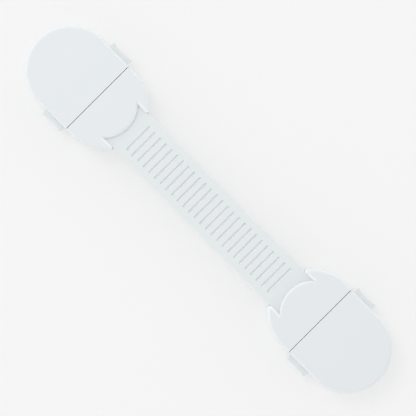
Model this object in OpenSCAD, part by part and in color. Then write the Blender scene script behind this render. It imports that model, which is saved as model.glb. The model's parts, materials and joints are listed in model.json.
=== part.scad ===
// Cabinet safety lock: two stick-on latch heads joined by a flexible grooved strap.
// Each head is a socket that grips a spring fork; squeezing both side buttons frees the fork,
// and the strap then slides out of that head. All sizes are in millimetres.
// The strap runs along X, Z is up from the mounting surface, and the origin is at mid-strap.

/* [Heads] */
// Distance between the centres of the two heads
head_spacing = 137.5; // [120:0.5:180]
// Length of one head along the strap
head_length = 55.6; // [52:0.1:62]
// Width of one head across the strap
head_width = 35.6; // [34:0.1:42]
// Height of a head above the mounting surface
head_height = 10; // [9.8:0.1:12]
// Radius of the rounded upper rim of both covers
edge_radius = 1.4; // [0.6:0.1:1.5]
// Thickness of the covers' side walls
wall = 1.5; // [1.2:0.1:1.8]
// Thickness of the covers' roofs
roof = 1.6; // [1.2:0.1:1.8]
// Distance of the seam from the head's centre, towards the strap
seam_inset = 5.75; // [5.5:0.05:6.2]
// Width of the open seam between the two covers
seam_gap = 0.2; // [0.15:0.05:0.5]
// Radius of the rounded nose over the strap
nose_radius = 14; // [12:0.5:16]
// Distance of the nose's tip from the head's centre
nose_reach = 22.9; // [22:0.05:23.5]
// Radius of the nose's upper edge
nose_edge = 1; // [0.2:0.1:1.1]
// Overlap of the notch's edges over the strap's edges
notch_lap = 0.3; // [0.1:0.05:0.6]
// Radius of the notch's upper edges
notch_edge = 1; // [0.2:0.1:1.1]

/* [Base] */
// Thickness of the adhesive foam pad
adhesive_thickness = 1; // [0.6:0.1:1.2]
// Margin between the foam pad and the base plate's edge
adhesive_inset = 1; // [0.5:0.1:3]
// Thickness of the base plate's floor
base_thickness = 1.6; // [1.4:0.1:1.8]
// Step by which the base plate stands back under the covers
base_step = 0.3; // [0.1:0.05:0.5]
// Width of the keel that guides the strap end along the base
keel_width = 3; // [2:0.1:4]
// Height of the keel
keel_height = 0.7; // [0.4:0.1:0.8]
// Distance of the keel's start from the head's end
keel_margin = 3; // [2:0.1:4]
// Distance of the keel's end from the seam
keel_setback = 1.3; // [0.8:0.1:3]
// Thickness of the ribs on the base plate
rib = 1; // [0.8:0.1:1.2]
// Height of the ribs on the base plate
rib_height = 1.4; // [0.8:0.1:2]

/* [Strap] */
// Width of the strap
strap_width = 19.6; // [19:0.1:20.4]
// Thickness of the strap
strap_thickness = 2.2; // [1.8:0.1:2.4]
// Radius of the strap's long edges
strap_edge = 0.3; // [0.2:0.05:0.7]
// Number of grooves across the strap
groove_count = 26; // [10:1:27]
// Spacing of the grooves
groove_pitch = 3.2; // [2:0.1:3.4]
// Length of a groove
groove_length = 13.4; // [8:0.1:16]
// Width of a groove
groove_width = 1; // [0.4:0.05:1.2]
// Depth of a groove
groove_depth = 0.5; // [0.3:0.05:1]

/* [Strap end] */
// Thickness of the tray's floor under the fork
tray_floor = 1.8; // [1.5:0.1:2]
// Diameter of the pins that hold the strap and the fork
pin_diameter = 3; // [2.4:0.1:3.2]
// Distance of a pin's hole from the edge of the fork's web
pin_edge = 0.7; // [0.5:0.05:1.2]
// Distance of the pins from the seam
pin_setback = 6.25; // [5.5:0.05:8]
// Thickness of the cover's roof left above a pin
pin_skin = 0.5; // [0.4:0.05:0.7]
// Length of strap beyond the pins' holes
strap_tail = 2.8; // [1.5:0.1:3.2]
// Overlap of the nose over the tray's platform under the strap
platform_overlap = 0.8; // [0.4:0.1:2]

/* [Latch] */
// Thickness of the spring fork
fork_thickness = 2; // [1.6:0.1:2.1]
// Width of one prong
prong_width = 1.6; // [1.2:0.1:1.8]
// Length of the bight that joins the prongs
bight_length = 4; // [3:0.1:5]
// Length of the fork's middle web beyond the pins' holes
web_tail = 1.8; // [1.2:0.1:2]
// Width of the slot between the web and a prong
flex_gap = 1.2; // [1:0.1:1.3]
// Distance of a prong from the tray's edge
prong_margin = 0.8; // [0.6:0.1:1.1]
// Length of the prongs beyond the seam
prong_reach = 13; // [12.6:0.1:15]
// Depth by which each barb hooks behind its post
barb_bite = 2.2; // [1.6:0.1:2.3]
// Length of the barb's flat land
barb_land = 2.2; // [1.8:0.1:2.6]
// Thickness of the post that a barb hooks behind
post_thickness = 2; // [1.6:0.1:2.2]
// Length of the post along the strap
post_length = 6.15; // [5.6:0.05:6.3]
// Distance of the post from the socket's mouth
post_setback = 0.4; // [0.2:0.05:0.6]

/* [Buttons] */
// Length of a button along the head
button_length = 10.2; // [9.4:0.1:12]
// Height of a button
button_height = 4.1; // [3.8:0.1:4.2]
// Distance by which a button stands proud of the head's side
button_reach = 2.7; // [2.6:0.1:4]
// Depth of the finger dish in a button
button_dish = 0.6; // [0.2:0.05:0.9]
// Radius of a button's outer corners
button_corner = 0.8; // [0.3:0.1:1.2]
// Thickness of the flange that keeps a button in its window
flange_thickness = 0.9; // [0.7:0.05:1]
// Height by which the flange overlaps the top of the window
flange_lip = 0.8; // [0.5:0.05:1]
// Distance of the pusher from the button's end and from the barb's shoulder
pusher_inset = 0.35; // [0.2:0.05:0.6]

/* [Springs] */
// Outer diameter of a button spring
spring_diameter = 2.6; // [2.2:0.1:2.8]
// Diameter of the spring's wire
wire_diameter = 0.4; // [0.3:0.05:0.45]
// Number of turns in a spring
spring_turns = 6; // [4:1:7]
// Thickness of plastic left at the end of the spring's pocket
pocket_floor = 1.5; // [1:0.1:2]
// Radial gap between a spring and its pocket, and between it and its spigot
spring_clearance = 0.2; // [0.1:0.05:0.25]
// Length of the spigot inside a spring
spigot_length = 1.2; // [0.8:0.1:2]

/* [Cover pegs] */
// Diameter of the pegs that fix the outer cover
peg_diameter = 2.4; // [1.8:0.1:2.6]
// Wall around the peg sockets
socket_wall = 1.1; // [0.8:0.1:1.3]
// Height of the peg sockets above the floor
socket_height = 3.9; // [2:0.1:4.2]
// Distance of the first peg from the seam
peg_setback = 4.75; // [4:0.05:7]
// Gap between the end pegs' sockets and the locating rib
peg_gap = 1.5; // [0.5:0.1:3]
// Angle of the end pegs from the head's long axis
peg_angle = 50; // [35:1:60]

/* [Fits] */
// Gap between pieces that slide on each other
slide_clearance = 0.15; // [0.1:0.01:0.2]
// Radial gap between a pin and its hole
pin_clearance = 0.05; // [0.02:0.01:0.1]
// Gap on each side of the strap in its channel
strap_clearance = 0.1; // [0.1:0.05:0.3]
// Room between a prong and its post
prong_play = 0.4; // [0.25:0.05:0.5]
// Gap between a latched barb and its post, and between the barb and its pusher
latch_gap = 0.2; // [0.15:0.01:0.25]

/* [Hidden] */
$fn = 64;
left = -1;
right = 1;
front = -1;
rear = 1;
past = 1; // overshoot of a cut beyond the face it opens

// Plan of a head, from its own centre: U runs out along the strap, V across it
head_x = head_spacing / 2;
end_radius = head_width / 2;
end_u = (head_length - head_width) / 2;
seam_u = -seam_inset;
socket_face_u = seam_u + seam_gap / 2;
plug_face_u = seam_u - seam_gap / 2;
side_inner = end_radius - wall;

// Levels above the mounting surface
base_z = adhesive_thickness;
floor_z = base_z + base_thickness;
plug_z = floor_z + slide_clearance;
fork_z = plug_z + tray_floor + pin_clearance;
strap_z = fork_z + fork_thickness;
strap_top = strap_z + strap_thickness;
channel_top = strap_top + pin_clearance;
pin_root_z = plug_z + tray_floor / 2;
pin_top = head_height - pin_skin - pin_clearance;
ceiling_z = head_height - roof;

// The strap's channel and the pieces that line up inside it
channel_half = strap_width / 2 + strap_clearance;
notch_half = strap_width / 2 - notch_lap;
tray_half = channel_half - slide_clearance;
nose_u = nose_radius - nose_reach;
nose_root_u = min(nose_u, plug_face_u - wall);
notch_end_u = nose_u - sqrt(nose_radius * nose_radius - notch_half * notch_half);
pin_u = seam_u - pin_setback;
strap_end_u = pin_u + pin_diameter / 2 + strap_tail;
channel_end_u = strap_end_u + strap_clearance;
platform_u = -nose_reach + platform_overlap;
keel_start_u = -head_length / 2 + keel_margin;
keel_end_u = plug_face_u - keel_setback;

// The fork, from its bight under the strap to the barbs in the socket
// Its posts leave room for a pressed button
flange_outer = side_inner - slide_clearance;
flange_inner = flange_outer - flange_thickness;
button_travel = barb_bite + prong_play;
post_limit = flange_inner - button_travel - slide_clearance;
fork_start_u = platform_u + slide_clearance;
bight_end_u = fork_start_u + bight_length;
prong_outer = min(tray_half - prong_margin, post_limit - post_thickness - prong_play);
prong_inner = prong_outer - prong_width;
web_half = prong_inner - flex_gap;
pin_v = web_half - pin_edge - pin_clearance - pin_diameter / 2;
web_end_u = pin_u + pin_diameter / 2 + web_tail;
prong_tip_u = seam_u + prong_reach;
post_start_u = socket_face_u + post_setback;
post_end_u = post_start_u + post_length;
barb_u = post_end_u + latch_gap;
post_inner = prong_outer + prong_play;
post_outer = post_inner + post_thickness;
barb_outer = post_inner + barb_bite;

// The buttons and their springs
button_start_u = socket_face_u + rib + 2 * slide_clearance;
button_end_u = button_start_u + button_length;
button_u = (button_start_u + button_end_u) / 2;
button_z = floor_z + slide_clearance;
button_top = button_z + button_height;
button_mid_z = (button_z + button_top) / 2;
button_outer = end_radius + button_reach;
pusher_face = barb_outer + latch_gap;
dish_half = button_length / 2 - button_corner;
dish_radius = (dish_half * dish_half + button_dish * button_dish) / (2 * button_dish);
spring_u = (post_start_u + post_end_u) / 2;
pocket_radius = spring_diameter / 2 + spring_clearance;
pocket_end = button_outer - button_dish - pocket_floor;
spigot_radius = spring_diameter / 2 - wire_diameter - spring_clearance;

// The three pegs of an outer cover: one between the prongs, two near the head's end
rib_ring = side_inner - slide_clearance;
socket_radius = peg_diameter / 2 + pin_clearance + socket_wall;
peg_ring = rib_ring - rib - peg_gap - socket_radius;
peg_places = [
    [seam_u + peg_setback, 0],
    [end_u + peg_ring * cos(peg_angle), peg_ring * sin(peg_angle)],
    [end_u + peg_ring * cos(peg_angle), -peg_ring * sin(peg_angle)]
];

shell_white = "#e8edef";
strap_white = "#e3e9eb";
acetal_white = "#f1f1ea";
foam_grey = "#d8dadb";
steel = "#b9bcc0";

// Puts a piece drawn about a head's centre where that head is; the left head is the right one turned round
module at_head(side) {
    rotate([0, 0, side == left ? 180 : 0]) translate([head_x, 0, 0]) children();
}

// Puts a piece drawn on the +V side of a head on its front or rear side
module at_side(side, across) {
    at_head(side) mirror([0, side * across < 0 ? 1 : 0, 0]) children();
}

// A box between two corners
module block(low, high) {
    translate(low) cube(high - low);
}

// Upright prism with the head's outline, drawn in by an inset
module racetrack(inset, low, high) {
    radius = end_radius - inset;
    for (end = [-end_u, end_u]) translate([end, 0, low]) cylinder(r = radius, h = high - low);
    block([-end_u, -radius, low], [end_u, radius, high]);
}

// Half of a head's cross-section, from its middle to its side, with the rounded upper rim
module half_section(low) {
    height = head_height - low;
    translate([0, low]) square([end_radius - edge_radius, height]);
    translate([0, low]) square([end_radius, height - edge_radius]);
    translate([end_radius - edge_radius, head_height - edge_radius]) circle(r = edge_radius);
}

// Rounded end of a head and its straight sides up to a face across it
// +1 is the outer end, -1 the strap's end
module rounded_head(end, face_u, low) {
    translate([end * end_u, 0, 0]) rotate([0, 0, end > 0 ? -90 : 90])
        rotate_extrude(angle = 180, $fn = 128) half_section(low);
    start = end > 0 ? face_u : -end_u;
    stop = end > 0 ? end_u : face_u;
    for (hand = [0, 1]) mirror([0, hand, 0])
        translate([start, 0, 0]) rotate([90, 0, 90]) linear_extrude(stop - start) half_section(low);
}

module adhesive_pad(side) {
    color(foam_grey) at_head(side) racetrack(base_step + adhesive_inset, 0, base_z);
}

// Post that a barb hooks behind, with the spigot that centres the button's spring
module latch_post() {
    block([post_start_u, post_inner, floor_z - past], [post_end_u, post_outer, ceiling_z - slide_clearance]);
    translate([spring_u, post_outer - past, button_mid_z]) rotate([-90, 0, 0])
        cylinder(r = spigot_radius, h = spigot_length + past);
}

// Low ribs on the floor at both ends of a button
module button_guides() {
    low_u = button_start_u - slide_clearance;
    high_u = button_end_u + slide_clearance;
    top = floor_z + rib_height;
    block([low_u - rib, post_outer + rib, floor_z - past], [low_u, flange_outer, top]);
    block([high_u, post_outer + rib, floor_z - past], [high_u + rib, flange_outer, top]);
}

// Curved rib that locates the outer cover's rounded end
module locating_rib() {
    intersection() {
        translate([end_u, 0, floor_z - past]) difference() {
            cylinder(r = rib_ring, h = rib_height + past);
            translate([0, 0, -past]) cylinder(r = rib_ring - rib, h = rib_height + 3 * past);
        }
        block([end_u, -end_radius, base_z], [end_u + end_radius, end_radius, ceiling_z]);
    }
}

module base_plate(side) {
    color(shell_white) at_head(side) difference() {
        union() {
            racetrack(base_step, base_z, floor_z);
            for (hand = [0, 1]) mirror([0, hand, 0]) {
                latch_post();
                button_guides();
            }
            locating_rib();
            for (place = peg_places) translate([place[0], place[1], floor_z - past])
                cylinder(r = socket_radius, h = socket_height + past);
            block([keel_start_u, -keel_width / 2, floor_z - past],
                  [keel_end_u, keel_width / 2, floor_z + keel_height]);
        }
        for (place = peg_places) translate([place[0], place[1], floor_z])
            cylinder(r = peg_diameter / 2 + pin_clearance, h = socket_height + past);
    }
}

module outer_cover(side) {
    color(shell_white) at_head(side) {
        difference() {
            rounded_head(1, socket_face_u, floor_z);
            translate([end_u, 0, floor_z - past]) cylinder(r = side_inner, h = ceiling_z - floor_z + past);
            block([socket_face_u - past, -side_inner, floor_z - past], [end_u, side_inner, ceiling_z]);
            for (hand = [0, 1]) mirror([0, hand, 0])
                block([button_start_u - slide_clearance, side_inner - past, floor_z - past],
                      [button_end_u + slide_clearance, end_radius + past, button_top + slide_clearance]);
        }
        for (place = peg_places) translate([place[0], place[1], floor_z + slide_clearance])
            cylinder(r = peg_diameter / 2, h = ceiling_z - floor_z - slide_clearance + roof / 2);
    }
}

// Hollow in one wing of the strap cover, open underneath
module wing_pocket() {
    intersection() {
        translate([-end_u, 0, plug_z - past]) cylinder(r = side_inner, h = ceiling_z - plug_z + past);
        block([-head_length / 2, channel_half + wall, plug_z - past],
              [plug_face_u - wall, end_radius, ceiling_z]);
    }
}

// Sliver that rounds the upper edge along one side of the notch
module notch_rounding() {
    edge_v = notch_half + notch_edge;
    edge_z = head_height - notch_edge;
    difference() {
        block([-head_length, notch_half - past, edge_z], [notch_end_u, edge_v, head_height + past]);
        translate([-head_length - past, edge_v, edge_z]) rotate([0, 90, 0])
            cylinder(r = notch_edge, h = head_length);
    }
}

module strap_cover(side) {
    color(shell_white) at_head(side) difference() {
        union() {
            difference() {
                rounded_head(-1, plug_face_u, plug_z);
                block([-head_length, -notch_half, 0], [nose_root_u, notch_half, head_height + past]);
            }
            intersection() {
                translate([nose_u, 0, 0]) rotate([0, 0, 90])
                    rotate_extrude(angle = 180, $fn = 128) nose_section();
                block([-head_length, -notch_half, 0], [nose_root_u, notch_half, head_height + past]);
            }
        }
        block([-head_length, -channel_half, 0], [channel_end_u, channel_half, channel_top]);
        block([-head_length, -channel_half, 0], [plug_face_u + past, channel_half, strap_z + pin_clearance]);
        for (hand = [0, 1]) mirror([0, hand, 0]) {
            wing_pocket();
            notch_rounding();
        }
        for (v = [-pin_v, pin_v]) translate([pin_u, v, 0])
            cylinder(r = pin_diameter / 2 + pin_clearance, h = head_height - pin_skin);
    }
}

// Half cross-section of the nose, with its rounded upper edge
module nose_section() {
    low = channel_top - past;
    translate([0, low]) square([nose_radius - nose_edge, head_height - low]);
    translate([0, low]) square([nose_radius, head_height - nose_edge - low]);
    translate([nose_radius - nose_edge, head_height - nose_edge]) circle(r = nose_edge);
}

module strap_tray(side) {
    color(shell_white) at_head(side) difference() {
        union() {
            intersection() {
                union() {
                    translate([-end_u, 0, plug_z]) cylinder(r = end_radius - base_step, h = strap_z - plug_z);
                    block([-end_u, -end_radius, plug_z], [plug_face_u, end_radius, strap_z]);
                }
                union() {
                    block([-head_length, -tray_half, plug_z],
                          [plug_face_u, tray_half, plug_z + tray_floor]);
                    block([-head_length, -tray_half, plug_z], [platform_u, tray_half, strap_z]);
                    block([plug_face_u - wall, -web_half, plug_z], [plug_face_u, web_half, strap_z]);
                }
            }
            for (v = [-pin_v, pin_v]) translate([pin_u, v, pin_root_z])
                cylinder(r = pin_diameter / 2, h = pin_top - pin_root_z);
        }
        block([keel_start_u - slide_clearance, -keel_width / 2 - slide_clearance, 0],
              [plug_face_u + past, keel_width / 2 + slide_clearance,
               floor_z + keel_height + slide_clearance]);
    }
}

// One side of the fork's outline, from the web's end round the flex slot and the prong to the bight
fork_side = [
    [web_end_u, web_half], [bight_end_u, web_half], [bight_end_u, prong_inner], [prong_tip_u, prong_inner],
    [prong_tip_u, prong_outer - prong_width / 4], [barb_u + barb_land, barb_outer],
    [barb_u, barb_outer], [barb_u, prong_outer], [fork_start_u, prong_outer]
];
fork_outline = concat(fork_side,
    [for (i = [len(fork_side) - 1 : -1 : 0]) [fork_side[i][0], -fork_side[i][1]]]);

module spring_fork(side) {
    color(acetal_white) at_head(side) difference() {
        translate([0, 0, fork_z]) linear_extrude(fork_thickness) polygon(fork_outline);
        for (v = [-pin_v, pin_v]) translate([pin_u, v, 0])
            cylinder(r = pin_diameter / 2 + pin_clearance, h = head_height);
    }
}

// Cross-section of the strap with its rounded long edges
module strap_section() {
    across = strap_width / 2 - strap_edge;
    up = strap_thickness / 2 - strap_edge;
    square([strap_width, 2 * up], center = true);
    square([2 * across, strap_thickness], center = true);
    for (y = [-across, across], z = [-up, up]) translate([y, z]) circle(r = strap_edge);
}

// One groove across the strap, round at both ends
module groove(x) {
    half = groove_length / 2 - groove_width / 2;
    low = strap_top - groove_depth;
    block([x - groove_width / 2, -half, low], [x + groove_width / 2, half, strap_top + past]);
    for (y = [-half, half]) translate([x, y, low])
        cylinder(r = groove_width / 2, h = groove_depth + past, $fn = 32);
}

module strap() {
    end_x = head_x + strap_end_u;
    first_groove = -(groove_count - 1) / 2 * groove_pitch;
    color(strap_white) difference() {
        translate([-end_x, 0, (strap_z + strap_top) / 2]) rotate([90, 0, 90])
            linear_extrude(2 * end_x) strap_section();
        for (i = [0 : groove_count - 1]) groove(first_groove + i * groove_pitch);
        for (side = [left, right], v = [-pin_v, pin_v])
            translate([side * (head_x + pin_u), v, strap_z - past])
                cylinder(r = pin_diameter / 2 + pin_clearance, h = strap_thickness + 2 * past);
    }
}

// A button: dished finger pad, body through the window, flange behind it,
// pusher on the barb and spring pocket
module button(side, across) {
    color(shell_white) at_side(side, across) difference() {
        union() {
            block([button_start_u, flange_inner, button_z],
                  [button_end_u, button_outer - button_corner, button_top]);
            block([button_start_u + button_corner, flange_inner, button_z],
                  [button_end_u - button_corner, button_outer, button_top]);
            for (u = [button_start_u + button_corner, button_end_u - button_corner])
                translate([u, button_outer - button_corner, button_z])
                    cylinder(r = button_corner, h = button_height);
            block([button_start_u, flange_inner, button_z],
                  [button_end_u, flange_outer, button_top + flange_lip]);
            block([barb_u + pusher_inset, pusher_face, button_z],
                  [button_end_u - pusher_inset, flange_outer, button_top]);
        }
        translate([button_u, button_outer - button_dish + dish_radius, 0])
            cylinder(r = dish_radius, h = head_height, $fn = 128);
        translate([spring_u, flange_inner - past, button_mid_z]) rotate([-90, 0, 0])
            cylinder(r = pocket_radius, h = pocket_end - flange_inner + past);
    }
}

// A spring's wire: rings of six corners square to the helix, eight rings to a turn
wire_sides = 6;
rings_per_turn = 8;
coil_rings = spring_turns * rings_per_turn;
coil_radius = (spring_diameter - wire_diameter) / 2;
coil_run = pocket_end - post_outer - wire_diameter;
coil_slope = atan2(coil_run / spring_turns, 2 * PI * coil_radius);
function coil_centre(t) =
    [coil_radius * cos(360 * t), post_outer + wire_diameter / 2 + coil_run * t / spring_turns,
     coil_radius * sin(360 * t)];
function coil_ring(t) =
    let (angle = 360 * t)
    let (outward = [cos(angle), 0, sin(angle)])
    let (along = [sin(coil_slope) * sin(angle), cos(coil_slope), -sin(coil_slope) * cos(angle)])
    [for (i = [0 : wire_sides - 1])
        let (turn = 360 * i / wire_sides)
        coil_centre(t) + wire_diameter / 2 * (cos(turn) * outward + sin(turn) * along)];

// Least gap of the wire to itself, over all pairs of rings at least half a turn apart
coil_gaps = [for (i = [0 : coil_rings], j = [i + rings_per_turn / 2 : coil_rings])
    norm(coil_centre(i / rings_per_turn) - coil_centre(j / rings_per_turn)) - wire_diameter];
echo(least_gap_between_spring_turns = min(coil_gaps));

module button_spring(side, across) {
    points = [for (i = [0 : coil_rings]) each coil_ring(i / rings_per_turn)];
    last = coil_rings * wire_sides;
    sides = [for (i = [0 : coil_rings - 1], k = [0 : wire_sides - 1])
        let (a = i * wire_sides + k, b = i * wire_sides + (k + 1) % wire_sides)
        each [[a, a + wire_sides, b], [b, a + wire_sides, b + wire_sides]]];
    caps = [for (k = [1 : wire_sides - 2]) each [[0, k, k + 1], [last, last + k + 1, last + k]]];
    color(steel) at_side(side, across) translate([spring_u, 0, button_mid_z])
        polyhedron(points = points, faces = concat(sides, caps));
}

strap();
adhesive_pad(left);  // left_adhesive_pad
base_plate(left);  // left_base_plate
outer_cover(left);  // left_outer_cover
strap_cover(left);  // left_strap_cover
strap_tray(left);  // left_strap_tray
spring_fork(left);  // left_spring_fork
button(left, front);  // left_front_button
button(left, rear);  // left_rear_button
button_spring(left, front);  // left_front_spring
button_spring(left, rear);  // left_rear_spring
adhesive_pad(right);  // right_adhesive_pad
base_plate(right);  // right_base_plate
outer_cover(right);  // right_outer_cover
strap_cover(right);  // right_strap_cover
strap_tray(right);  // right_strap_tray
spring_fork(right);  // right_spring_fork
button(right, front);  // right_front_button
button(right, rear);  // right_rear_button
button_spring(right, front);  // right_front_spring
button_spring(right, rear);  // right_rear_spring
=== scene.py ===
# %% [markdown]
# # A cabinet safety lock
# The lock is two white stick-on heads joined by a flat grooved strap. Each head hides a small
# side-release latch. The frame below is the finished construction: every piece at its real size, on the
# body that it moves with. This lesson dresses that frame. Rounded mouldings are modelled again as finer
# meshes, because light shows every edge, and plain inner pieces keep their solids and only get a finish.

# %% Load the frame
import json
import math

import bmesh
import bpy
from mathutils import Matrix, Vector


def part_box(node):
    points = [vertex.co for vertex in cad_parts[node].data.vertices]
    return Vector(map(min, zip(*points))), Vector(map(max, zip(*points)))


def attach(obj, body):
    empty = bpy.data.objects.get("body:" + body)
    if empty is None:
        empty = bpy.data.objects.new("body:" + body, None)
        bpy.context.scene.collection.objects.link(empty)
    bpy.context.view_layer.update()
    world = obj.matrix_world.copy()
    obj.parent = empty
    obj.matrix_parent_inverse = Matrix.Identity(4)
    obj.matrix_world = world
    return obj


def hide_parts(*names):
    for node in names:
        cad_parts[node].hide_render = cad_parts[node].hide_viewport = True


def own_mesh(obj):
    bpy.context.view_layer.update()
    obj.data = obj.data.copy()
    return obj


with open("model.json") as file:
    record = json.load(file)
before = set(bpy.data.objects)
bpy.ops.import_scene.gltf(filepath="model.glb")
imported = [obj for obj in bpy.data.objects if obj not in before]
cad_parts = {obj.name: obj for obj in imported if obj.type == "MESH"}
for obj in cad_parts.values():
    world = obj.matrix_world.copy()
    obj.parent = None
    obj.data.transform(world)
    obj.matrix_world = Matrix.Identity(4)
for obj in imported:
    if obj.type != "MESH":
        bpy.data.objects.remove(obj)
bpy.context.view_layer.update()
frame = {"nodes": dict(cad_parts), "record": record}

MM = 0.001
scene = bpy.context.scene

# %% [markdown]
# ## Measuring the frame
# The two heads are the same moulding, turned round, so everything is measured and modelled on the right
# head and then turned by 180 degrees for the left one. What the frame can tell is read from its boxes.
# The few sizes that a box can't tell, such as the thickness of a wall, are named in millimetres.

# %% Read the main places from the frame
cover_low, cover_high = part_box("right_outer_cover")
plug_low, plug_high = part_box("right_strap_cover")
base_low, base_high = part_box("right_base_plate")
pad_low, pad_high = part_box("right_adhesive_pad")
fork_low, fork_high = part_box("right_spring_fork")
button_low, button_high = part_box("right_rear_button")
spring_low, spring_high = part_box("right_rear_spring")
strap_low, strap_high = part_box("strap")

half_width = cover_high.y
top_z = cover_high.z
outer_x = cover_high.x - half_width
inner_x = base_low.x + base_high.y
head_x = (outer_x + inner_x) / 2
mouth_x = cover_low.x
plug_x = plug_high.x
seam_x = (mouth_x + plug_x) / 2

WALL = 1.5 * MM
ROOF = 1.6 * MM
SLIDE_GAP = 0.15 * MM
ceiling_z = top_z - ROOF
side_inner = half_width - WALL
PIN_SETBACK = 6.25 * MM
pin_x = seam_x - PIN_SETBACK
STRAP_GAP = 0.1 * MM
NOTCH_LAP = 0.3 * MM
channel_half = strap_high.y + STRAP_GAP
channel_top = strap_high.z + STRAP_GAP / 2
notch_half = strap_high.y - NOTCH_LAP
head_length = cover_high.x - base_low.x
print(f"head {1000 * head_length:.1f} x {2000 * half_width:.1f} mm, seam at {1000 * seam_x:.1f} mm")

# %% [markdown]
# ## Tools for moulded plastic
# A moulded piece is nearly always an outline pulled up into a block, with its edges rounded by the mould.
# An outline here is a list of points, and each point also says how far the edge that starts there is
# rounded. `settle` turns an object's modifiers into a plain mesh once they have done their work.

# %% Outlines
def arc(x, y, radius, start, stop, edge=0.0, steps=48):
    """Points (x, y, edge radius) along an arc from one angle to another, in degrees, without the last."""
    angles = [math.radians(start + (stop - start) * i / steps) for i in range(steps)]
    return [(x + radius * math.cos(a), y + radius * math.sin(a), edge) for a in angles]


def circle(x, y, radius):
    """A whole circle with plain edges."""
    return arc(x, y, radius, 0, 360, 0.0, 32)


def rectangle(low_x, low_y, high_x, high_y, edge=0.0):
    """The four corners of a rectangle, anticlockwise."""
    return [(low_x, low_y, edge), (high_x, low_y, edge), (high_x, high_y, edge), (low_x, high_y, edge)]


def settle(piece):
    """Turn a piece's modifiers into a plain mesh."""
    graph = bpy.context.evaluated_depsgraph_get()
    mesh = bpy.data.meshes.new_from_object(piece.evaluated_get(graph))
    piece.modifiers.clear()
    piece.data = mesh
    return piece


print("a quarter circle has", len(arc(0, 0, 1, 0, 90)), "points")

# %% [markdown]
# `skin` stretches faces over a stack of rings, as a loft does in CAD. It makes whatever changes its outline
# on the way, such as a cutter that flares or a wire that winds. `prism` is the plain case: two equal rings,
# then a Bevel modifier that reads a weight on each edge. Painting weights is better than rounding every
# edge by its angle, because the rim, the seam and the foot all have different radii.

# %% Blocks from rings and outlines
SHARP_CORNER = math.radians(40)


def skin(rings):
    """A closed block through rings of equally many points."""
    mesh = bmesh.new()
    loops = [[mesh.verts.new(point) for point in ring] for ring in rings]
    mesh.faces.new(loops[0][::-1])
    mesh.faces.new(loops[-1])
    for lower, upper in zip(loops, loops[1:]):
        for i in range(len(lower)):
            mesh.faces.new((lower[i - 1], lower[i], upper[i], upper[i - 1]))
    piece = bpy.data.objects.new("block", bpy.data.meshes.new("block"))
    mesh.to_mesh(piece.data)
    mesh.free()
    scene.collection.objects.link(piece)
    return piece


def level(outline, height):
    """An outline as a ring at one height."""
    return [(x, y, height) for x, y, edge in outline]


def prism(outline, low, high, foot=0.0, corner=0.0, segments=6):
    """A block on an anticlockwise outline, with its top, foot and sharp upright corners rounded."""
    piece = skin([level(outline, low), level(outline, high)])
    largest = max([foot, corner] + [edge for x, y, edge in outline])
    if not largest:
        return piece
    mesh = bmesh.new()
    mesh.from_mesh(piece.data)
    mesh.verts.ensure_lookup_table()
    weight = mesh.edges.layers.float.new("bevel_weight_edge")
    count = len(outline)
    lower, upper = mesh.verts[:count], mesh.verts[count:]
    for i in range(count):
        j = (i + 1) % count
        before = (upper[i].co - upper[i - 1].co).to_2d()
        after = (upper[j].co - upper[i].co).to_2d()
        is_corner = -before.angle_signed(after) > SHARP_CORNER
        mesh.edges.get((upper[i], upper[j]))[weight] = outline[i][2] / largest
        mesh.edges.get((lower[i], lower[j]))[weight] = foot / largest
        mesh.edges.get((lower[i], upper[i]))[weight] = corner / largest if is_corner else 0.0
    mesh.to_mesh(piece.data)
    mesh.free()
    step = piece.modifiers.new("rounded edges", "BEVEL")
    step.limit_method = "WEIGHT"
    step.width = largest
    step.segments = segments
    step.use_clamp_overlap = False
    settle(piece)
    piece.data.attributes.remove(piece.data.attributes["bevel_weight_edge"])
    return piece


print("blocks: skin for rings, prism for outlines")

# %% [markdown]
# `combine` cuts other blocks out of a piece, or joins them to it, with Boolean modifiers. An edge left by a
# cut is sharp, and rounding it afterwards often fails where fillets meet. So the cutters get the rounding:
# `flare` gives the steps by which a cutter widens near the surface, and what it leaves has a round lip.

# %% Cuts
def combine(piece, operation, *others):
    """Cut the others out of a piece, or join them to it, and clear them away."""
    for other in others:
        step = piece.modifiers.new(operation.lower(), "BOOLEAN")
        step.operation = operation
        step.solver = "EXACT"
        step.object = other
    settle(piece)
    for other in others:
        bpy.data.objects.remove(other)
    return piece


def joined(blocks):
    """Several separate blocks as one object, so that one Boolean cuts them all."""
    mesh = bmesh.new()
    for block in blocks:
        mesh.from_mesh(block.data)
    whole = blocks[0]
    mesh.to_mesh(whole.data)
    mesh.free()
    for block in blocks[1:]:
        bpy.data.objects.remove(block)
    return whole


def flare(radius, steps=8):
    """Pairs of (widening, depth under the surface) for a cutter that leaves a lip of this radius."""
    angles = [math.radians(90 * i / steps) for i in range(steps + 1)]
    return [(radius * (1 - math.cos(a)), radius * (1 - math.sin(a))) for a in angles]


print("a lip of 1 mm:", [(round(wide, 2), round(deep, 2)) for wide, deep in flare(1.0, 3)])

# %% [markdown]
# ## Finishes
# White plastic is easy to get wrong: a flat white has no scale and no touch. Real mouldings carry the
# fine, even texture of the spark-eroded mould, a slightly uneven gloss and the faintest drift of tint
# where the melt cooled slower. All of that is made with noise whose size is set in real millimetres. One
# function adds a node, and every colour is written as an sRGB hex code, as a colour picker shows it.

# %% Functions for colours, nodes and new materials
# A Mix node has sockets of one name for numbers, vectors and colours, so these are found by number.
MIX_FIRST = 6
MIX_SECOND = 7
MIX_RESULT = 2


def colour(code):
    """Turn an sRGB hex code into the linear colour that shaders work in."""
    channels = [int(code[i:i + 2], 16) / 255 for i in (1, 3, 5)]
    linear = [c / 12.92 if c <= 0.04045 else ((c + 0.055) / 1.055) ** 2.4 for c in channels]
    return (*linear, 1.0)


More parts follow.
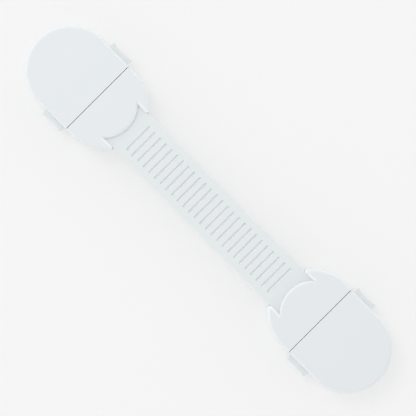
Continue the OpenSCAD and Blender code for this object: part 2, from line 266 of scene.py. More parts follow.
def add_node(tree, kind, settings=None, links=None):
    """Add a node, set its sockets or properties by name or number, and link other sockets into it."""
    node = tree.nodes.new(kind)
    for name, value in (settings or {}).items():
        if isinstance(name, int) or name in node.inputs:
            node.inputs[name].default_value = value
        else:
            setattr(node, name, value)
    for name, source in (links or {}).items():
        tree.links.new(source, node.inputs[name])
    return node


def new_surface(name):
    """A new material, its node tree, its surface shader and the place on the piece."""
    material = bpy.data.materials.new(name)
    material.use_nodes = True
    tree = material.node_tree
    place = add_node(tree, "ShaderNodeTexCoord").outputs["Object"]
    return material, tree, tree.nodes["Principled BSDF"], place


def per_metre(size_mm):
    """Scale of a pattern whose features are about this many millimetres across."""
    return 1.0 / (size_mm * MM)


print("white in linear light:", [round(c, 3) for c in colour("#e6eaec")])

# %% [markdown]
# Three of the finishes are plastics that differ in colour, gloss and grain, so they share one recipe: two
# close tints drifting into each other, a roughness that wanders a little, and the mould's grain as bump.

# %% The shared recipe of a moulded plastic
GLOSS_WANDER = 0.04


def moulded_plastic(name, tints, ior, roughness, grain_mm, grain_height_mm, drift_mm):
    """A moulded plastic: close tints, uneven gloss and the mould's grain."""
    material, tree, surface, place = new_surface(name)
    surface.inputs["IOR"].default_value = ior
    clouds = {"Scale": per_metre(drift_mm), "Detail": 3.0}
    drift = add_node(tree, "ShaderNodeTexNoise", clouds, {"Vector": place}).outputs["Fac"]
    pair = {"data_type": "RGBA", MIX_FIRST: colour(tints[0]), MIX_SECOND: colour(tints[1])}
    tint = add_node(tree, "ShaderNodeMix", pair, {0: drift})
    tree.links.new(tint.outputs[MIX_RESULT], surface.inputs["Base Color"])
    limits = {"To Min": roughness - GLOSS_WANDER, "To Max": roughness + GLOSS_WANDER}
    gloss = add_node(
        tree, "ShaderNodeMapRange", {"From Min": 0.3, "From Max": 0.7, **limits}, {"Value": drift}
    )
    tree.links.new(gloss.outputs["Result"], surface.inputs["Roughness"])
    specks = {"Scale": per_metre(grain_mm), "Detail": 2.0}
    grain = add_node(tree, "ShaderNodeTexNoise", specks, {"Vector": place}).outputs["Fac"]
    relief = {"Strength": 1.0, "Distance": grain_height_mm * MM}
    bump = add_node(tree, "ShaderNodeBump", relief, {"Height": grain})
    tree.links.new(bump.outputs["Normal"], surface.inputs["Normal"])
    return material


# ABS from a fine spark-eroded mould: opaque cool white with a soft satin sheen. The real grain is about
# 0.05 mm and too fine to show, so it is drawn 0.5 mm across.
white_abs = moulded_plastic(
    "white_abs_spark_textured",
    tints=("#e4e9eb", "#e7ebed"),
    ior=1.54,
    roughness=0.36,
    grain_mm=0.5,
    grain_height_mm=0.006,
    drift_mm=22,
)

# Soft polypropylene from a matt mould: the strap bends, so it is a more waxy, duller white. Its real grain
# is about 0.1 mm, so it is drawn 0.6 mm across.
soft_strap = moulded_plastic(
    "white_polypropylene_matt",
    tints=("#e3e8ea", "#e6ebec"),
    ior=1.49,
    roughness=0.48,
    grain_mm=0.6,
    grain_height_mm=0.003,
    drift_mm=15,
)

# Natural acetal from a polished mould: slippery, a little yellow and smoother than the covers, with only
# faint waves 0.8 mm across.
acetal = moulded_plastic(
    "natural_acetal_polished",
    tints=("#f0f0e8", "#f3f3ec"),
    ior=1.48,
    roughness=0.28,
    grain_mm=0.8,
    grain_height_mm=0.003,
    drift_mm=12,
)
print("plastics:", white_abs.name, soft_strap.name, acetal.name)

# %% [markdown]
# In places a plastic gets a lighter tint that stands in for light: a painted highlight on an edge, or
# painted light that softens the shade in a hollow. That could be a second material on chosen faces, but
# its border would be hard. `retint` mixes another tint in by the place on the piece, so it fades out
# towards the end of its reach.

# %% Another tint in one place
FADE_START = 0.8


def retint(material, middle, reach, tint):
    """Give a plastic another tint within reach of a place and of its mirror images in X and Y."""
    tree = material.node_tree
    base = tree.nodes["Principled BSDF"].inputs["Base Color"]
    away = add_node(tree, "ShaderNodeTexCoord").outputs["Object"]
    sums = (("ABSOLUTE", None), ("SUBTRACT", middle), ("ABSOLUTE", None), ("DIVIDE", reach))
    for operation, amount in sums:
        step = add_node(tree, "ShaderNodeVectorMath", {"operation": operation}, {0: away})
        if amount:
            step.inputs[1].default_value = amount
        away = step.outputs["Vector"]
    axes = add_node(tree, "ShaderNodeSeparateXYZ", links={"Vector": away}).outputs
    farthest = axes["X"]
    for axis in ("Y", "Z"):
        larger = add_node(tree, "ShaderNodeMath", {"operation": "MAXIMUM"}, {0: farthest, 1: axes[axis]})
        farthest = larger.outputs[0]
    fade = {"From Min": 1.0, "From Max": FADE_START}
    inside = add_node(tree, "ShaderNodeMapRange", fade, {"Value": farthest}).outputs["Result"]
    before = base.links[0].from_socket
    after = {"data_type": "RGBA", MIX_SECOND: colour(tint)}
    mix = add_node(tree, "ShaderNodeMix", after, {0: inside, MIX_FIRST: before})
    tree.links.new(mix.outputs[MIX_RESULT], base)


print("another tint starts to fade at", FADE_START, "of its reach")

# %% [markdown]
# The pads under the heads are closed-cell foam tape. Its cut edge shows tiny bubbles, which a Voronoi
# pattern gives at once: each cell of the pattern is a bubble, and the distance to its middle is its hollow.
# The adhesive under the foam is a clear film on tissue, whose fibres are a noise that is bent by itself.
# The springs are drawn steel wire, so their only pattern is fine drawing lines that break up the shine.

# %% Foam tape, adhesive and spring wire
BUBBLE_DEPTH = 0.05 * MM
FIBRE_DEPTH = 0.02 * MM


def foam_tape_material():
    """Closed-cell foam: soft matt grey-white with small bubbles, 0.2 mm wide and drawn at 0.4 mm."""
    material, tree, surface, place = new_surface("polyethylene_foam_tape_cut")
    surface.inputs["IOR"].default_value = 1.5
    surface.inputs["Roughness"].default_value = 0.75
    cells = add_node(tree, "ShaderNodeTexVoronoi", {"Scale": per_metre(0.4)}, {"Vector": place})
    bubbles = cells.outputs["Distance"]
    pair = {"data_type": "RGBA", MIX_FIRST: colour("#c9cccd"), MIX_SECOND: colour("#dfe1e2")}
    tint = add_node(tree, "ShaderNodeMix", pair, {0: bubbles})
    tree.links.new(tint.outputs[MIX_RESULT], surface.inputs["Base Color"])
    relief = {"Strength": 1.0, "Distance": BUBBLE_DEPTH}
    bump = add_node(tree, "ShaderNodeBump", relief, {"Height": bubbles})
    tree.links.new(bump.outputs["Normal"], surface.inputs["Normal"])
    return material


def adhesive_material():
    """Clear acrylic adhesive on tissue: a tacky sheen over pale fibres, 0.1 mm wide, drawn at 0.5 mm."""
    material, tree, surface, place = new_surface("acrylic_adhesive_on_tissue_coated")
    surface.inputs["IOR"].default_value = 1.47
    surface.inputs["Roughness"].default_value = 0.24
    bent = {"Scale": per_metre(0.5), "Detail": 4.0, "Distortion": 2.5}
    fibres = add_node(tree, "ShaderNodeTexNoise", bent, {"Vector": place}).outputs["Fac"]
    pair = {"data_type": "RGBA", MIX_FIRST: colour("#cfcec4"), MIX_SECOND: colour("#e2e1d8")}
    tint = add_node(tree, "ShaderNodeMix", pair, {0: fibres})
    tree.links.new(tint.outputs[MIX_RESULT], surface.inputs["Base Color"])
    relief = {"Strength": 1.0, "Distance": FIBRE_DEPTH}
    bump = add_node(tree, "ShaderNodeBump", relief, {"Height": fibres})
    tree.links.new(bump.outputs["Normal"], surface.inputs["Normal"])
    return material


def spring_wire_material():
    """Drawn spring steel: a grey metal with fine lines from the die, 0.05 mm wide and drawn at 0.1 mm."""
    material, tree, surface, place = new_surface("spring_steel_drawn")
    surface.inputs["Metallic"].default_value = 1.0
    streaks = {"Scale": per_metre(0.1), "Detail": 2.0}
    lines = add_node(tree, "ShaderNodeTexNoise", streaks, {"Vector": place}).outputs["Fac"]
    pair = {"data_type": "RGBA", MIX_FIRST: colour("#a9adb1"), MIX_SECOND: colour("#c4c7ca")}
    tint = add_node(tree, "ShaderNodeMix", pair, {0: lines})
    tree.links.new(tint.outputs[MIX_RESULT], surface.inputs["Base Color"])
    gloss = add_node(tree, "ShaderNodeMapRange", {"To Min": 0.22, "To Max": 0.4}, {"Value": lines})
    tree.links.new(gloss.outputs["Result"], surface.inputs["Roughness"])
    return material


foam_tape = foam_tape_material()
adhesive = adhesive_material()
spring_wire = spring_wire_material()
print("other finishes:", foam_tape.name, adhesive.name, spring_wire.name)

# %% [markdown]
# ## Putting pieces in place
# A finished master mesh becomes the piece of each head. The left head is the right one turned half round,
# so a piece on the right head's rear side is, turned, on the left head's front side. Every piece rides on
# its body, stands for its node in the frame, and takes that node's material slot. Smooth shading needs
# help on mouldings: edges sharper than 35 degrees stay crisp, and weighted normals keep flat faces flat.

# %% Show a piece on the frame
TURNS = {"right": Matrix.Identity(4), "left": Matrix.Rotation(math.pi, 4, "Z")}
MIRROR_Y = Matrix.Scale(-1, 4, (0, 1, 0))
SLOTS = {
    "white_abs": white_abs,
    "soft_strap": soft_strap,
    "acetal": acetal,
    "foam_tape": foam_tape,
    "spring_steel": spring_wire,
}
BODIES = frame["record"]["behaviour"]["bodies"]
BODY_OF = {node: body for body, nodes in BODIES.items() for node in nodes}
CRISP_EDGE = math.radians(35)


def shade(mesh):
    """Smooth shading that keeps sharp edges sharp."""
    mesh.shade_smooth()
    mesh.set_sharp_from_angle(angle=CRISP_EDGE)


def show(name, node, master, slot, turn=TURNS["right"], mirrored=False):
    """Put a copy of a master mesh in the scene as the finished piece of a node."""
    mesh = master.copy()
    if mirrored:
        mesh.transform(MIRROR_Y)
        mesh.flip_normals()
    mesh.transform(turn)
    mesh.materials.clear()
    mesh.materials.append(SLOTS[slot])
    shade(mesh)
    piece = bpy.data.objects.new(name, mesh)
    scene.collection.objects.link(piece)
    normals = piece.modifiers.new("flat faces stay flat", "WEIGHTED_NORMAL")
    normals.keep_sharp = True
    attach(piece, BODY_OF[node])
    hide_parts(node)
    return piece


def take(block):
    """Take a finished block's mesh as a master and clear the block away."""
    mesh = block.data
    bpy.data.objects.remove(block)
    return mesh


def show_on_heads(master, node_end, piece_end, slot):
    """Show one master on both heads."""
    return {
        side: show(f"{side}_{piece_end}", f"{side}_{node_end}", master, slot, turn)
        for side, turn in TURNS.items()
    }


def head_sides():
    """Both sides of both heads: the head, its turn, front or rear, and if a master is mirrored there."""
    for side, turn in TURNS.items():
        for mirrored in (False, True):
            across = "rear" if mirrored == (side == "left") else "front"
            yield side, turn, across, mirrored


def show_on_sides(master, node_end, piece_end, slot):
    """Show one master, modelled on the right head's rear side, on both sides of both heads."""
    pieces = {}
    for side, turn, across, mirrored in head_sides():
        name = f"{side}_{across}_{piece_end}"
        node = f"{side}_{across}_{node_end}"
        pieces[side, across] = show(name, node, master, slot, turn, mirrored)
    return pieces


print("slots:", sorted(SLOTS))

# %% [markdown]
# ## The outer cover
# The outer cover is the round end of a head: a shell with straight sides, a half-round end and a generous
# rounded rim. It could be a scaled sphere or a subdivided box, but the rim's radius is the same all round,
# and a bevelled outline gives exactly that. The shell is hollow, open below and at the seam, with a window
# for a button in each side wall and three pegs that press into the base.

# %% Model the outer cover
RIM = 1.4 * MM
SEAM_EDGE = 0.2 * MM
FOOT_EDGE = 0.15 * MM
WINDOW_EDGE = 0.3 * MM
PAST = 1 * MM
window_low = button_low.x - SLIDE_GAP
window_high = button_high.x + SLIDE_GAP
BUTTON_HEIGHT = 4.1 * MM
button_top = button_low.z + BUTTON_HEIGHT
PEG_RADIUS = 1.2 * MM
PEG_EDGE = 0.3 * MM
PEG_INSET = 5 * MM
PEG_ANGLE = math.radians(50)
FIRST_PEG = 4.75 * MM
peg_ring = side_inner - PEG_INSET
end_peg = outer_x + peg_ring * math.cos(PEG_ANGLE), peg_ring * math.sin(PEG_ANGLE)
peg_places = [(seam_x + FIRST_PEG, 0.0), end_peg, (end_peg[0], -end_peg[1])]


def outer_half(inset, start_x, rim=0.0, seam=0.0):
    """Outline of a head's outer part, drawn in by an inset, from a straight face to the round end."""
    radius = half_width - inset
    return (
        [(start_x, radius, seam), (start_x, -radius, rim)]
        + arc(outer_x, 0.0, radius, -90, 90, rim, 96)
        + [(outer_x, radius, rim)]
    )


def window_ring(grow, y):
    """The button window, widened by an amount, as a ring across the wall."""
    low, high = cover_low.z - PAST, button_top + SLIDE_GAP + grow
    corners = rectangle(window_low - grow, low, window_high + grow, high)
    return [(x, y, z) for x, z, edge in corners]


cover = prism(outer_half(0.0, mouth_x, RIM, SEAM_EDGE), cover_low.z, top_z, FOOT_EDGE, SEAM_EDGE)
hollow = prism(outer_half(WALL, mouth_x - PAST), cover_low.z - PAST, ceiling_z)
lip = [window_ring(wide, half_width - deep) for wide, deep in flare(WINDOW_EDGE, 4)]
through = [window_ring(0.0, side_inner - PAST)] + lip + [window_ring(WINDOW_EDGE, half_width + PAST)]
rear_window = skin(through[::-1])
front_window = skin([[(x, -y, z) for x, y, z in ring] for ring in through])
combine(cover, "DIFFERENCE", hollow, rear_window, front_window)
pegs = [
    prism(circle(x, y, PEG_RADIUS), cover_low.z + SLIDE_GAP, ceiling_z + ROOF / 2, PEG_EDGE)
    for x, y in peg_places
]
combine(cover, "UNION", *pegs)
outer_covers = show_on_heads(take(cover), "outer_cover", "outer_cover_shell", "white_abs")
print("outer cover:", len(outer_covers["right"].data.polygons), "faces")

# %% [markdown]
# ## The strap cover
# The strap's end wears the other part of the head: a round cover whose notch and rounded nose lap over the
# strap. Bevelling the notch's edge would fail at the wing tips, where the wide fillet of the rim and that
# of the notch run into each other, so the notch is cut with a flaring cutter. Below it, a wider channel
# takes the strap, a slot lets the fork out and two pockets lighten the wings.

# %% Model the strap cover
NOTCH_EDGE = 1 * MM
TIP_RADIUS = 0.9 * MM
NOSE_RADIUS = 14 * MM
NOSE_REACH = 22.9 * MM
CHANNEL_BACK = 0.2 * MM
RELIEF = 0.03 * MM
nose_x = head_x - NOSE_REACH + NOSE_RADIUS


def notch_ring(grow, height):
    """The notch, widened by an amount: up the nose, out along the wing, round its tip, and back."""
    side = notch_half + grow
    nose = NOSE_RADIUS - grow
    tip_y = side + TIP_RADIUS
    tip_x = inner_x - math.sqrt((half_width - TIP_RADIUS) ** 2 - tip_y ** 2)
    away = math.degrees(math.atan2(tip_y, tip_x - inner_x))
    nose_angle = math.degrees(math.asin(side / nose))
    far = half_width + PAST
    outside = inner_x + far * math.cos(math.radians(away)), far * math.sin(math.radians(away)), 0.0
    half = (
        arc(nose_x, 0.0, nose, 180, 180 - nose_angle, 0.0, 32)
        + [(nose_x - nose * math.cos(math.radians(nose_angle)), side, 0.0)]
        + arc(tip_x, tip_y, TIP_RADIUS, 270, away, 0.0, 8)
        + [outside, (inner_x - far, outside[1], 0.0)]
    )
    return level(half + [(x, -y, edge) for x, y, edge in half[:0:-1]], height)


def inner_half(inset, start_x, rim=0.0, seam=0.0):
    """Outline of a head's strap end, drawn in by an inset, from a straight face to the round end."""
    radius = half_width - inset
    return (
        [(start_x, -radius, seam), (start_x, radius, rim)]
        + arc(inner_x, 0.0, radius, 90, 270, rim, 96)
        + [(inner_x, -radius, rim)]
    )


cover = prism(inner_half(0.0, plug_x, RIM, SEAM_EDGE), plug_low.z, top_z, FOOT_EDGE, SEAM_EDGE)
lip = [notch_ring(wide, top_z - deep) for wide, deep in flare(NOTCH_EDGE)]
notch = skin([notch_ring(0.0, plug_low.z - PAST)] + lip + [notch_ring(NOTCH_EDGE, top_z + PAST)])
channel = prism(
    rectangle(base_low.x, -channel_half - RELIEF, strap_high.x + CHANNEL_BACK, channel_half + RELIEF),
    plug_low.z - PAST,
    channel_top,
)
fork_slot = prism(
    rectangle(pin_x, RELIEF - channel_half, plug_x + PAST, channel_half - RELIEF),
    plug_low.z - 2 * PAST,
    fork_high.z + RELIEF,
)
pocket_angle = math.degrees(math.asin((channel_half + WALL) / side_inner))
pocket = (
    [(plug_x - WALL, channel_half + WALL, 0.0), (plug_x - WALL, side_inner, 0.0)]
    + arc(inner_x, 0.0, side_inner, 90, 180 - pocket_angle)
    + [(inner_x - side_inner * math.cos(math.radians(pocket_angle)), channel_half + WALL, 0.0)]
)
pockets = [
    prism(pocket, plug_low.z - PAST, ceiling_z),
    prism([(x, -y, edge) for x, y, edge in pocket[::-1]], plug_low.z - PAST, ceiling_z),
]
combine(cover, "DIFFERENCE", notch, channel, fork_slot, *pockets)
strap_covers = show_on_heads(take(cover), "strap_cover", "strap_cover_shell", "white_abs")

# Painted highlight: the notch's long edges get a lighter tint that stands in for the light on their
# rounded lips.
PAINTED_HIGHLIGHT_X = 45.5 * MM
PAINTED_HIGHLIGHT_INSET = 0.55 * MM
PAINTED_HIGHLIGHT_REACH = (5.5 * MM, 0.65 * MM, 0.7 * MM)
painted_highlight = (PAINTED_HIGHLIGHT_X, notch_half + PAINTED_HIGHLIGHT_INSET, top_z - PAINTED_HIGHLIGHT_INSET)
retint(white_abs, painted_highlight, PAINTED_HIGHLIGHT_REACH, "#eef2f4")
print("strap cover:", len(strap_covers["right"].data.polygons), "faces")

# %% [markdown]
# ## The strap
# The strap is a flat strip with rounded long edges and a ladder of blind grooves that let it bend. The
# grooves could be bump in the material, but they catch real shade, and the exported mesh should have them
# too. Their cutters flare at the top and round off at the bottom, since a soft moulding has no sharp lip.
# All the grooves, and the pin holes at the ends, are cut in one go.

# %% Model the strap
STRAP_EDGE = 0.3 * MM
GROOVE_COUNT = 26
GROOVE_PITCH = 3.2 * MM
GROOVE_LENGTH = 13.4 * MM
GROOVE_WIDTH = 1 * MM
GROOVE_DEPTH = 0.5 * MM
GROOVE_LIP = 0.12 * MM
GROOVE_FLOOR = 0.2 * MM
PIN_Y = 3.9 * MM
PIN_HOLE = 1.55 * MM


def groove_ring(x, grow, height):
    """A groove across the strap, round at both ends and widened by an amount, as a ring."""
    radius = GROOVE_WIDTH / 2 + grow
    half = (GROOVE_LENGTH - GROOVE_WIDTH) / 2
    outline = (
        arc(x, half, radius, 0, 180, 0.0, 12)
        + [(x - radius, half, 0.0)]
        + arc(x, -half, radius, 180, 360, 0.0, 12)
        + [(x + radius, -half, 0.0)]
    )
    return level(outline, height)


def groove(x):
    """A cutter for one groove, round at its floor and flared at its lip."""
    floor_z = strap_high.z - GROOVE_DEPTH
    floor = [groove_ring(x, -wide, floor_z + deep) for wide, deep in flare(GROOVE_FLOOR, 4)[::-1]]
    lip = [groove_ring(x, wide, strap_high.z - deep) for wide, deep in flare(GROOVE_LIP, 4)]
    return skin(floor + lip + [groove_ring(x, GROOVE_LIP, strap_high.z + PAST)])


long_edges = rectangle(strap_low.x, strap_low.y, strap_high.x, strap_high.y, STRAP_EDGE)
strap_block = prism(long_edges, strap_low.z, strap_high.z, STRAP_EDGE)
groove_xs = [GROOVE_PITCH * (i - (GROOVE_COUNT - 1) / 2) for i in range(GROOVE_COUNT)]
grooves = joined([groove(x) for x in groove_xs])
pin_holes = joined([
    prism(circle(x, y, PIN_HOLE), strap_low.z - PAST, strap_high.z + PAST)
    for x in (-pin_x, pin_x)
    for y in (-PIN_Y, PIN_Y)
])
combine(strap_block, "DIFFERENCE", grooves, pin_holes)
strap_piece = show("strap_moulding", "strap", take(strap_block), "soft_strap")

# Painted light: the groove floors get a tint a little lighter and less cool, which softens the shade in
# the grooves.
PAINTED_LIGHT_DROP = 0.1 * MM
PAINTED_LIGHT_REACH = (60 * MM, 8.5 * MM, 0.25 * MM)
polished = (0.0, 0.0, strap_high.z - GROOVE_DEPTH - PAINTED_LIGHT_DROP)
retint(soft_strap, polished, PAINTED_LIGHT_REACH, "#ebedee")
print("strap:", len(strap_piece.data.polygons), "faces")

# %% [markdown]
# ## The squeeze buttons
# Each button is a small finger pad, dished so that a fingertip finds its middle. Behind the wall it has a
# flange that keeps it in its window, a pusher that presses the fork's barb, and a round pocket for its
# spring. The dish is an arc in the outline, so it runs over the button's full height, as a mould's slide
# leaves it.

# %% Model a button
BUTTON_DISH = 0.6 * MM
BUTTON_CORNER = 0.8 * MM
BUTTON_EDGE = 0.35 * MM
FLANGE = 0.9 * MM
PUSHER_INSET = 0.35 * MM
SPRING_CLEARANCE = 0.2 * MM
PUSHER_START = 5.8 * MM
flange_outer = side_inner - SLIDE_GAP
flange_inner = flange_outer - FLANGE
button_mid = (button_low.z + button_top) / 2
spring_x = (spring_low.x + spring_high.x) / 2
spring_radius = (spring_high.x - spring_low.x) / 2

corner_y = button_high.y - BUTTON_CORNER
corner_low = button_low.x + BUTTON_CORNER
corner_high = button_high.x - BUTTON_CORNER
dish_half = (corner_high - corner_low) / 2
dish_radius = (dish_half ** 2 + BUTTON_DISH ** 2) / (2 * BUTTON_DISH)
dish_angle = math.degrees(math.asin(dish_half / dish_radius))
dish_x = (corner_low + corner_high) / 2
dish_y = button_high.y - BUTTON_DISH + dish_radius
pusher_low = button_low.x + PUSHER_START
pusher_high = button_high.x - PUSHER_INSET
button_outline = (
    [(button_low.x, flange_inner, 0.0), (pusher_low, flange_inner, 0.0)]
    + [(pusher_low, button_low.y, 0.0), (pusher_high, button_low.y, 0.0)]
    + [(pusher_high, flange_inner, 0.0), (button_high.x, flange_inner, BUTTON_EDGE)]
    + arc(corner_high, corner_y, BUTTON_CORNER, 0, 90, BUTTON_EDGE, 12)
    + arc(dish_x, dish_y, dish_radius, 270 + dish_angle, 270 - dish_angle, BUTTON_EDGE, 24)
    + arc(corner_low, corner_y, BUTTON_CORNER, 90, 180, BUTTON_EDGE, 12)
    + [(button_low.x, corner_y, BUTTON_EDGE)]
)
button = prism(button_outline, button_low.z, button_top, BUTTON_EDGE)
flange_plan = rectangle(button_low.x, flange_inner, button_high.x, flange_outer)
combine(button, "UNION", prism(flange_plan, button_mid, button_high.z))
bore = circle(spring_x, button_mid, spring_radius + SPRING_CLEARANCE)
bore_ends = [[(x, y, z) for x, z, edge in bore] for y in (spring_high.y, flange_inner - PAST)]
combine(button, "DIFFERENCE", skin(bore_ends))
buttons = show_on_sides(take(button), "button", "finger_button", "white_abs")
print("button:", len(buttons["right", "rear"].data.polygons), "faces")

# %% [markdown]
# ## Springs behind the buttons
# A coil spring is one wire wound on a helix. A curve with a round bevel would draw it, but here the wire
# is skinned ring by ring into a mesh, and each spring gets a mesh of its own. The end turns lie closer
# together, as on a real compression spring, so that they sit flat.

# %% Wind the springs
WIRE_RADIUS = 0.2 * MM
SPRING_TURNS = 6
POINTS_PER_TURN = 24
WIRE_SIDES = 10
END_EASE = 0.5
NEARBY = 0.001
coil_radius = spring_radius - WIRE_RADIUS
coil_low = spring_low.y + WIRE_RADIUS
coil_run = spring_high.y - spring_low.y - 2 * WIRE_RADIUS


def coil_point(share):
    """A point on the wire's middle, with flatter turns at both ends."""
    eased = share - END_EASE * math.sin(2 * math.pi * share) / (2 * math.pi)
    angle = 2 * math.pi * SPRING_TURNS * share
    return Vector((
        spring_x + coil_radius * math.cos(angle),
        coil_low + coil_run * eased,
        button_mid + coil_radius * math.sin(angle),
    ))


def wire_ring(share):
    """The ring round the wire at a point, square to the wire."""
    centre = coil_point(share)
    along = (coil_point(share + NEARBY) - coil_point(share - NEARBY)).normalized()
    outwards = Vector((centre.x - spring_x, 0.0, centre.z - button_mid)).normalized()
    across = along.cross(outwards)
    angles = [2 * math.pi * i / WIRE_SIDES for i in range(WIRE_SIDES)]
    return [centre + WIRE_RADIUS * (math.cos(a) * outwards + math.sin(a) * across) for a in angles]


steps = SPRING_TURNS * POINTS_PER_TURN
coil_mesh = take(skin([wire_ring(i / steps) for i in range(steps + 1)]))
springs = show_on_sides(coil_mesh, "spring", "coil_spring", "spring_steel")

for (side, across), piece in springs.items():
    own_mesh(piece)

# %% [markdown]
# ## The spring fork
# The fork is a flat acetal spring: a web pinned under the strap's end and two long prongs with barbs that
# hook behind the posts in the head. It is one moulding, and each prong bends with the button beside it.
# The prongs are separate meshes that meet the web, and each one has a mesh of its own.

# %% Model the fork
PRONG_OUTER = 8.95 * MM
PRONG_WIDTH = 1.6 * MM
BARB_SETBACK = 6.75 * MM
BARB_LAND = 2.2 * MM
FLEX_GAP = 1.2 * MM
BIGHT = 4 * MM
WEB_END = 3.3 * MM
FORK_EDGE = 0.15 * MM
prong_inner = PRONG_OUTER - PRONG_WIDTH
web_half = prong_inner - FLEX_GAP
bight_x = fork_low.x + BIGHT
web_x = pin_x + WEB_END
barb_x = mouth_x + BARB_SETBACK

web_outline = [
    (fork_low.x, -PRONG_OUTER, FORK_EDGE),
    (bight_x, -PRONG_OUTER, FORK_EDGE),
    (bight_x, -web_half, FORK_EDGE),
    (web_x, -web_half, FORK_EDGE),
    (web_x, web_half, FORK_EDGE),
    (bight_x, web_half, FORK_EDGE),
    (bight_x, PRONG_OUTER, FORK_EDGE),
    (fork_low.x, PRONG_OUTER, FORK_EDGE),
]
web = prism(web_outline, fork_low.z, fork_high.z, FORK_EDGE, FORK_EDGE, 3)
web_holes = joined([
    prism(circle(pin_x, y, PIN_HOLE), fork_low.z - PAST, fork_high.z + PAST)
    for y in (-PIN_Y, PIN_Y)
])
combine(web, "DIFFERENCE", web_holes)
webs = show_on_heads(take(web), "spring_fork", "fork_web", "acetal")

prong_outline = [
    (bight_x, prong_inner, FORK_EDGE),
    (fork_high.x, prong_inner, FORK_EDGE),
    (fork_high.x, PRONG_OUTER - PRONG_WIDTH / 4, FORK_EDGE),
    (barb_x + BARB_LAND, fork_high.y, FORK_EDGE),
    (barb_x, fork_high.y, FORK_EDGE),
    (barb_x, PRONG_OUTER, FORK_EDGE),
    (bight_x, PRONG_OUTER, FORK_EDGE),
]
prong = take(prism(prong_outline, fork_low.z, fork_high.z, FORK_EDGE, FORK_EDGE, 3))

prongs = {}
for side, turn, across, mirrored in head_sides():
    piece = show(f"{side}_{across}_prong", f"{side}_spring_fork", prong, "acetal", turn, mirrored)
    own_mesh(piece)
    prongs[side, across] = piece
print("fork:", len(webs), "webs and", len(prongs), "prongs")

# %% [markdown]
# ## The foam pads
# A die-cut pad of foam tape sticks each head to the furniture. It is a thin racetrack-shaped slab, drawn
# in from the base's edge, whose cut side is a little rounded by the die. The adhesive below it could be a
# second material on the lower face, but a thin skin of its own keeps the two finishes apart.

# %% Model the foam pads
PAD_EDGE = 0.12 * MM
SKIN = 0.06 * MM
pad_radius = pad_high.y
pad_outline = (
    arc(outer_x, 0.0, pad_radius, -90, 90, PAD_EDGE)
    + [(outer_x, pad_radius, PAD_EDGE)]
    + arc(inner_x, 0.0, pad_radius, 90, 270, PAD_EDGE)
    + [(inner_x, -pad_radius, PAD_EDGE)]
)
pad = take(prism(pad_outline, pad_low.z + SKIN, pad_high.z, PAD_EDGE, 0.0, 3))
pads = show_on_heads(pad, "adhesive_pad", "foam_pad", "foam_tape")
skin_outline = [(x, y, 0.0) for x, y, edge in pad_outline]
skin_mesh = take(prism(skin_outline, pad_low.z, pad_low.z + SKIN))
skins = show_on_heads(skin_mesh, "adhesive_pad", "adhesive_skin", "foam_tape")
for piece in skins.values():
    piece.data.materials[0] = adhesive
print("pad:", len(pad.polygons), "faces, skin:", len(skin_mesh.polygons), "faces")

# %% [markdown]
# ## Inner mouldings
# The base plates and the trays under the strap's ends are plain mouldings that already have their shape.
# They stay as they are and get the covers' plastic, with a small bevel on their edges.

# %% Finish the base plates and trays
WELD_GAP = 0.002 * MM
MOULDING_EDGE = 0.15 * MM
for side in TURNS:
    for node in (f"{side}_base_plate", f"{side}_strap_tray"):
        solid = frame["nodes"][node]
        solid.data.materials.clear()
        solid.data.materials.append(white_abs)
        weld = solid.modifiers.new("join the faces", "WELD")
        weld.merge_threshold = WELD_GAP
        edges = solid.modifiers.new("soft edges", "BEVEL")
        edges.limit_method = "ANGLE"
        edges.angle_limit = SHARP_CORNER
        edges.width = MOULDING_EDGE
        edges.segments = 2
        normals = solid.modifiers.new("flat faces stay flat", "WEIGHTED_NORMAL")
        normals.keep_sharp = True
print("inner mouldings finished")

# %% [markdown]
# ## Floor, light and camera
# The lock lies on a plain pale floor in soft studio light. White plastic on white needs light from all
# round, or its rims go grey: the world is a dome that is brighter near the horizon than overhead, as in a
# light tent. One big soft lamp from the strap's left end adds direction. Together they light a level
# surface so that a colour looks about as it is written. What the camera and mirrored rays see of the dome
# is plain pale paper. The floor is lit paper mixed with that even tone, so it keeps a soft shadow.

# %% Floor and light
FLOOR_SIZE = 6.0
FLOOR_DROP = 0.05 * MM
EVEN_TONE = "#f5f5f5"
EVEN_SHARE = 0.6


def background_rays(tree):
    """Tell rays that show the background, straight, mirrored or through glass, from rays that light."""
    rays = add_node(tree, "ShaderNodeLightPath").outputs
    shown = rays["Is Camera Ray"]
    for kind in ("Is Glossy Ray", "Is Transmission Ray"):
        both = add_node(tree, "ShaderNodeMath", {"operation": "MAXIMUM"}, {0: shown, 1: rays[kind]})
        shown = both.outputs[0]
    return shown


bpy.ops.mesh.primitive_plane_add(size=FLOOR_SIZE, location=(0, 0, pad_low.z - FLOOR_DROP))
floor = bpy.context.object
floor.name = "floor"
paper = bpy.data.materials.new("pale_paper_floor")
paper.use_nodes = True
sheet = paper.node_tree
matt = sheet.nodes["Principled BSDF"]
matt.inputs["Base Color"].default_value = colour("#f8f8f8")
matt.inputs["Roughness"].default_value = 0.9
even = add_node(sheet, "ShaderNodeEmission", {"Color": colour(EVEN_TONE)})
product = {"operation": "MULTIPLY", 1: EVEN_SHARE}
share = add_node(sheet, "ShaderNodeMath", product, {0: background_rays(sheet)})
mixed = add_node(
    sheet, "ShaderNodeMixShader", links={0: share.outputs[0], 1: matt.outputs[0], 2: even.outputs[0]}
)
sheet.links.new(mixed.outputs[0], sheet.nodes["Material Output"].inputs["Surface"])
floor.data.materials.append(paper)

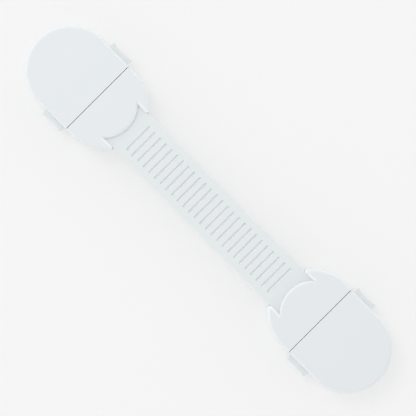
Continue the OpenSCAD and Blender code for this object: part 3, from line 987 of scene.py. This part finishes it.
HORIZON = 1.8
ZENITH = 0.34
world = bpy.data.worlds.new("studio")
scene.world = world
world.use_nodes = True
sky = world.node_tree
direction = add_node(sky, "ShaderNodeTexCoord").outputs["Generated"]
height = add_node(sky, "ShaderNodeSeparateXYZ", links={"Vector": direction}).outputs["Z"]
dome = add_node(sky, "ShaderNodeMapRange", {"To Min": HORIZON, "To Max": ZENITH}, {"Value": height})
light = sky.nodes["Background"]
light.inputs["Color"].default_value = (1.0, 1.0, 1.0, 1.0)
sky.links.new(dome.outputs["Result"], light.inputs["Strength"])
backdrop = add_node(sky, "ShaderNodeBackground", {"Color": colour(EVEN_TONE)})
seen = add_node(
    sky,
    "ShaderNodeMixShader",
    links={0: background_rays(sky), 1: light.outputs[0], 2: backdrop.outputs[0]},
)
sky.links.new(seen.outputs[0], sky.nodes["World Output"].inputs["Surface"])

# The key is a square soft box that points at the lock and that the camera doesn't see.
KEY_PLACE = Vector((-1.05, 0.0, 1.35))
KEY_SIZE = 0.9
KEY_POWER = 6.4
soft_box = bpy.data.lights.new("key", "AREA")
soft_box.size = KEY_SIZE
soft_box.energy = KEY_POWER
key = bpy.data.objects.new("key", soft_box)
key.location = KEY_PLACE
key.rotation_euler = (-KEY_PLACE).to_track_quat("-Z", "Y").to_euler()
key.visible_camera = False
scene.collection.objects.link(key)
scene.view_settings.view_transform = "Standard"
print("dome from", ZENITH, "overhead to", HORIZON, "at the horizon")

# %% [markdown]
# The photograph looks straight down, with the lock running at about 45 degrees from the upper left to the
# lower right. A camera that looks along -Z has its up side along +Y, so it only has to turn about Z. The
# lens is chosen so that a pixel is 0.4 mm near the level of the strap. The lock's middle is a pixel or so
# right of the frame's middle and below it, so the camera stands a little off to the other side.

# %% Camera
PIXELS = 416
PIXEL = 0.4 * MM
CAMERA_HEIGHT = 700 * MM
CAMERA_TURN = math.radians(45.1)
SCALE_LEVEL = 8.6 * MM
OFFSET_RIGHT = 0.7 * PIXEL
OFFSET_DOWN = 1.4 * PIXEL
image_right = Vector((math.cos(CAMERA_TURN), math.sin(CAMERA_TURN), 0))
image_up = Vector((-math.sin(CAMERA_TURN), math.cos(CAMERA_TURN), 0))
lens = bpy.data.cameras.new("camera")
lens.sensor_width = 36
lens.lens = lens.sensor_width * (CAMERA_HEIGHT - SCALE_LEVEL) / (PIXELS * PIXEL)
camera = bpy.data.objects.new("camera", lens)
offset = image_up * OFFSET_DOWN - image_right * OFFSET_RIGHT
camera.location = Vector((0, 0, CAMERA_HEIGHT)) + offset
camera.rotation_euler = (0, 0, CAMERA_TURN)
scene.collection.objects.link(camera)
scene.camera = camera
print(f"lens {lens.lens:.1f} mm")
